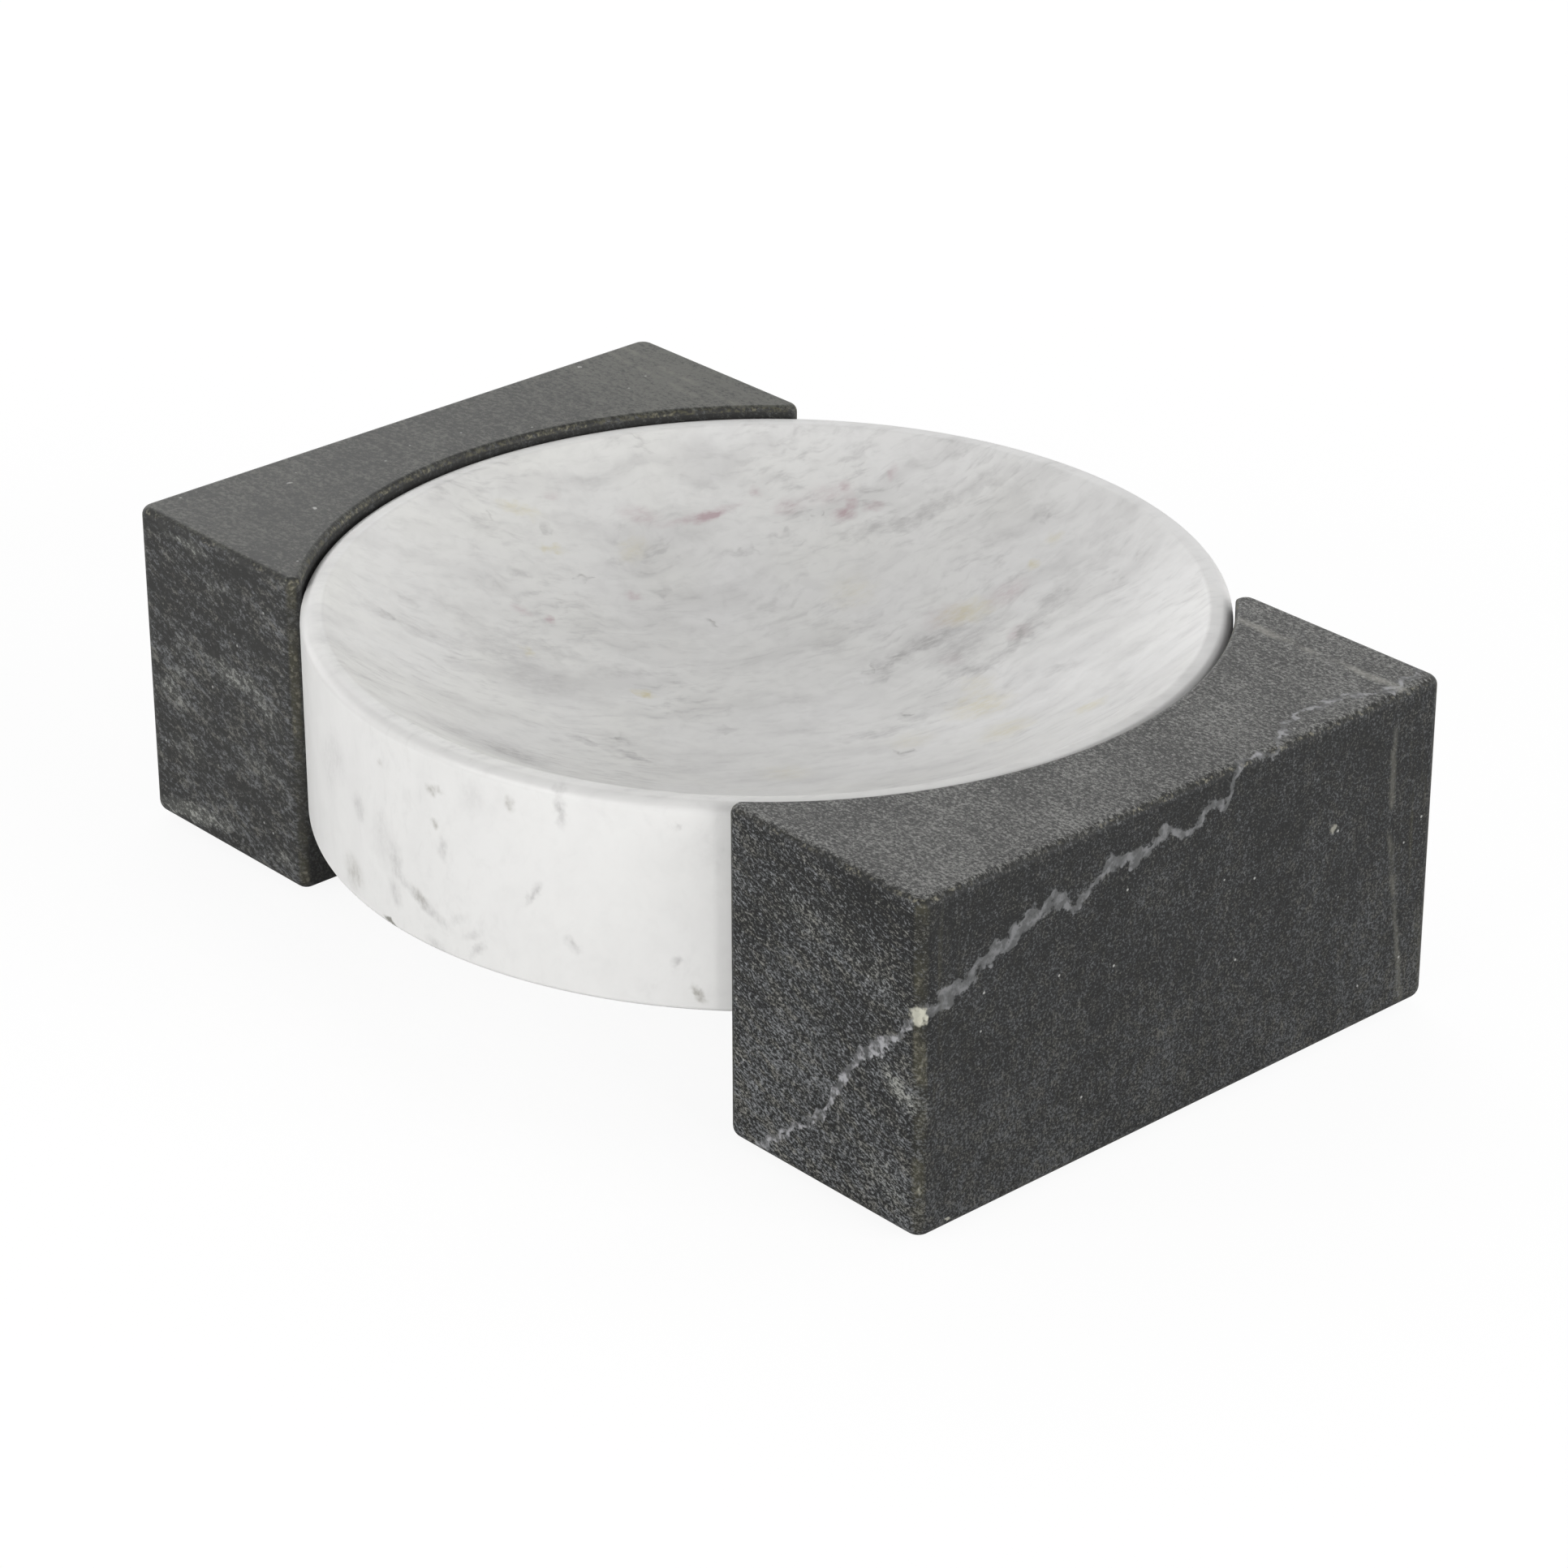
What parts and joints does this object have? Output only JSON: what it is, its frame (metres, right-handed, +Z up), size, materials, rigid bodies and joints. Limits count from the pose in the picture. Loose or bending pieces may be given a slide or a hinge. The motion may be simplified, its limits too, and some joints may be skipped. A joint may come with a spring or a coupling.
{
  "type": "marble tray",
  "caption": "Low round dish of pale marble, hollowed on top, set into curved stepped seats between dark marble end blocks that hold it clear of the surface.",
  "frame": {"origin": "on the surface the feet stand on, below the middle of the dish", "axes": "+X from the left block to the right block, +Y along the blocks from front to back, +Z up"},
  "size_m": [0.254, 0.2, 0.0772],
  "materials": {
    "white_marble": "satin, soft grey veins and small spots",
    "black_marble": "honed, fine pale flecks and a few pale veins",
    "stone_resin": "cured stone resin",
    "foot_rubber": "matt"
  },
  "bodies": {
    "root": {"dish": "white_marble", "block_left": "black_marble", "block_right": "black_marble", "resin_bed_left": "stone_resin", "resin_bed_right": "stone_resin", "foot_left_front_outer": "foot_rubber", "foot_left_front_inner": "foot_rubber", "foot_left_back_outer": "foot_rubber", "foot_left_back_inner": "foot_rubber", "foot_right_front_outer": "foot_rubber", "foot_right_front_inner": "foot_rubber", "foot_right_back_outer": "foot_rubber", "foot_right_back_inner": "foot_rubber"}
  },
  "joints": []
}
